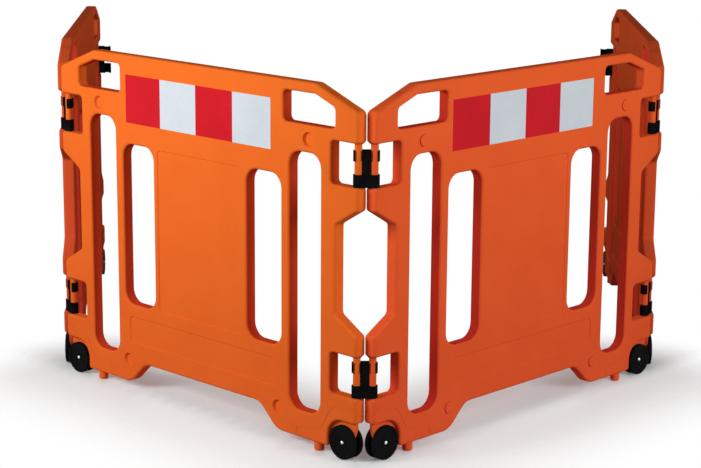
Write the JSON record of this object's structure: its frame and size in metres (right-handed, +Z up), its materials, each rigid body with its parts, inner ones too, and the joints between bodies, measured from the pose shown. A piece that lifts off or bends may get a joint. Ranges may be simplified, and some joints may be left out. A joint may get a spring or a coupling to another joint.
{
  "type": "folding pedestrian barrier",
  "caption": "Folding pedestrian barrier of hollow slotted plastic panels with grips and reflective sheets, joined by clip-on hinge links and carried on foot pegs and small wheels.",
  "frame": {"origin": "floor level, in the middle of the barrier's plan box at rest", "axes": "+Z up, +Y toward the open back of the barrier, +X to the right seen from the front"},
  "size_m": [1.9222, 2.1026, 1],
  "materials": {
    "orange_polyethylene": "satin moulded polyethylene",
    "red_reflective": "retroreflective sheet",
    "white_reflective": "retroreflective sheet",
    "zinc_steel": "zinc plated",
    "zinc_caps": "zinc plated",
    "black_wheel_plastic": "moulded, slightly worn",
    "black_link_plastic": "moulded"
  },
  "bodies": {
    "links_bc": {"link_bc_upper": "black_link_plastic", "link_bc_lower": "black_link_plastic"},
    "panel_a": {"panel_a": "orange_polyethylene", "red_sheets_a": "red_reflective", "white_sheets_a": "white_reflective", "axles_a": "zinc_steel", "axle_caps_a": "zinc_caps"},
    "wheel_a_left_outer": {"wheel_a_left_outer": "black_wheel_plastic"},
    "wheel_a_left_inner": {"wheel_a_left_inner": "black_wheel_plastic"},
    "wheel_a_right_outer": {"wheel_a_right_outer": "black_wheel_plastic"},
    "wheel_a_right_inner": {"wheel_a_right_inner": "black_wheel_plastic"},
    "panel_b": {"panel_b": "orange_polyethylene", "red_sheets_b": "red_reflective", "white_sheets_b": "white_reflective", "axles_b": "zinc_steel", "axle_caps_b": "zinc_caps"},
    "wheel_b_left_outer": {"wheel_b_left_outer": "black_wheel_plastic"},
    "wheel_b_left_inner": {"wheel_b_left_inner": "black_wheel_plastic"},
    "wheel_b_right_outer": {"wheel_b_right_outer": "black_wheel_plastic"},
    "wheel_b_right_inner": {"wheel_b_right_inner": "black_wheel_plastic"},
    "panel_c": {"panel_c": "orange_polyethylene", "red_sheets_c": "red_reflective", "white_sheets_c": "white_reflective", "axles_c": "zinc_steel", "axle_caps_c": "zinc_caps"},
    "wheel_c_left_outer": {"wheel_c_left_outer": "black_wheel_plastic"},
    "wheel_c_left_inner": {"wheel_c_left_inner": "black_wheel_plastic"},
    "wheel_c_right_outer": {"wheel_c_right_outer": "black_wheel_plastic"},
    "wheel_c_right_inner": {"wheel_c_right_inner": "black_wheel_plastic"},
    "panel_d": {"panel_d": "orange_polyethylene", "red_sheets_d": "red_reflective", "white_sheets_d": "white_reflective", "axles_d": "zinc_steel", "axle_caps_d": "zinc_caps"},
    "wheel_d_left_outer": {"wheel_d_left_outer": "black_wheel_plastic"},
    "wheel_d_left_inner": {"wheel_d_left_inner": "black_wheel_plastic"},
    "wheel_d_right_outer": {"wheel_d_right_outer": "black_wheel_plastic"},
    "wheel_d_right_inner": {"wheel_d_right_inner": "black_wheel_plastic"},
    "links_ab": {"link_ab_upper": "black_link_plastic", "link_ab_lower": "black_link_plastic"},
    "links_cd": {"link_cd_upper": "black_link_plastic", "link_cd_lower": "black_link_plastic"},
    "spare_link_a": {"spare_link_a": "black_link_plastic"},
    "spare_link_d": {"spare_link_d": "black_link_plastic"}
  },
  "joints": [
    {"name": "panel_b_on_apex_links", "type": "hinge", "parent": "links_bc", "child": "panel_b", "pos_m": [-0.021, -1.03174, 0.5], "axis": [0, 0, -1], "range_deg": [-134.5, 45.5]},
    {"name": "panel_c_on_apex_links", "type": "hinge", "parent": "links_bc", "child": "panel_c", "pos_m": [0.021, -1.03174, 0.5], "axis": [0, 0, 1], "range_deg": [-134.5, 45.5]},
    {"name": "left_links_on_panel_b", "type": "hinge", "parent": "panel_b", "child": "links_ab", "pos_m": [-0.87262, -0.19485, 0.5], "axis": [0, 0, 1], "range_deg": [-68.5, 111.5]},
    {"name": "panel_a_on_left_links", "type": "hinge", "parent": "links_ab", "child": "panel_a", "pos_m": [-0.8897, -0.15648, 0.5], "axis": [0, 0, 1], "range_deg": [-68.5, 111.5]},
    {"name": "right_links_on_panel_c", "type": "hinge", "parent": "panel_c", "child": "links_cd", "pos_m": [0.87262, -0.19485, 0.5], "axis": [0, 0, -1], "range_deg": [-68.5, 111.5]},
    {"name": "panel_d_on_right_links", "type": "hinge", "parent": "links_cd", "child": "panel_d", "pos_m": [0.8897, -0.15648, 0.5], "axis": [0, 0, -1], "range_deg": [-68.5, 111.5]},
    {"name": "spare_link_on_panel_a", "type": "hinge", "parent": "panel_a", "child": "spare_link_a", "pos_m": [-0.94179, 1.03638, 0.792], "axis": [0, 0, 1], "range_deg": [-90, 270]},
    {"name": "spare_link_on_panel_d", "type": "hinge", "parent": "panel_d", "child": "spare_link_d", "pos_m": [0.94179, 1.03638, 0.792], "axis": [0, 0, 1], "range_deg": [-270, 90]},
    {"name": "wheel_a_left_outer_spin", "type": "hinge", "parent": "panel_a", "child": "wheel_a_left_outer", "pos_m": [-0.95266, 0.99887, 0.048], "axis": [0.999, 0.0436, 0], "continuous": true},
    {"name": "wheel_a_left_inner_spin", "type": "hinge", "parent": "panel_a", "child": "wheel_a_left_inner", "pos_m": [-0.92768, 0.99996, 0.048], "axis": [0.999, 0.0436, 0], "continuous": true},
    {"name": "wheel_a_right_outer_spin", "type": "hinge", "parent": "panel_a", "child": "wheel_a_right_outer", "pos_m": [-0.90381, -0.12006, 0.048], "axis": [0.999, 0.0436, 0], "continuous": true},
    {"name": "wheel_a_right_inner_spin", "type": "hinge", "parent": "panel_a", "child": "wheel_a_right_inner", "pos_m": [-0.87883, -0.11897, 0.048], "axis": [0.999, 0.0436, 0], "continuous": true},
    {"name": "wheel_b_left_outer_spin", "type": "hinge", "parent": "panel_b", "child": "wheel_b_left_outer", "pos_m": [-0.85499, -0.2297, 0.048], "axis": [0.7009, 0.7133, 0], "continuous": true},
    {"name": "wheel_b_left_inner_spin", "type": "hinge", "parent": "panel_b", "child": "wheel_b_left_inner", "pos_m": [-0.83747, -0.21187, 0.048], "axis": [0.7009, 0.7133, 0], "continuous": true},
    {"name": "wheel_b_right_outer_spin", "type": "hinge", "parent": "panel_b", "child": "wheel_b_right_outer", "pos_m": [-0.05615, -1.01472, 0.048], "axis": [0.7009, 0.7133, 0], "continuous": true},
    {"name": "wheel_b_right_inner_spin", "type": "hinge", "parent": "panel_b", "child": "wheel_b_right_inner", "pos_m": [-0.03863, -0.99689, 0.048], "axis": [0.7009, 0.7133, 0], "continuous": true},
    {"name": "wheel_c_left_outer_spin", "type": "hinge", "parent": "panel_c", "child": "wheel_c_left_outer", "pos_m": [0.05615, -1.01472, 0.048], "axis": [-0.7009, 0.7133, 0], "continuous": true},
    {"name": "wheel_c_left_inner_spin", "type": "hinge", "parent": "panel_c", "child": "wheel_c_left_inner", "pos_m": [0.03863, -0.99689, 0.048], "axis": [-0.7009, 0.7133, 0], "continuous": true},
    {"name": "wheel_c_right_outer_spin", "type": "hinge", "parent": "panel_c", "child": "wheel_c_right_outer", "pos_m": [0.85499, -0.2297, 0.048], "axis": [-0.7009, 0.7133, 0], "continuous": true},
    {"name": "wheel_c_right_inner_spin", "type": "hinge", "parent": "panel_c", "child": "wheel_c_right_inner", "pos_m": [0.83747, -0.21187, 0.048], "axis": [-0.7009, 0.7133, 0], "continuous": true},
    {"name": "wheel_d_left_outer_spin", "type": "hinge", "parent": "panel_d", "child": "wheel_d_left_outer", "pos_m": [0.90381, -0.12006, 0.048], "axis": [-0.999, 0.0436, 0], "continuous": true},
    {"name": "wheel_d_left_inner_spin", "type": "hinge", "parent": "panel_d", "child": "wheel_d_left_inner", "pos_m": [0.87883, -0.11897, 0.048], "axis": [-0.999, 0.0436, 0], "continuous": true},
    {"name": "wheel_d_right_outer_spin", "type": "hinge", "parent": "panel_d", "child": "wheel_d_right_outer", "pos_m": [0.95266, 0.99887, 0.048], "axis": [-0.999, 0.0436, 0], "continuous": true},
    {"name": "wheel_d_right_inner_spin", "type": "hinge", "parent": "panel_d", "child": "wheel_d_right_inner", "pos_m": [0.92768, 0.99996, 0.048], "axis": [-0.999, 0.0436, 0], "continuous": true}
  ]
}
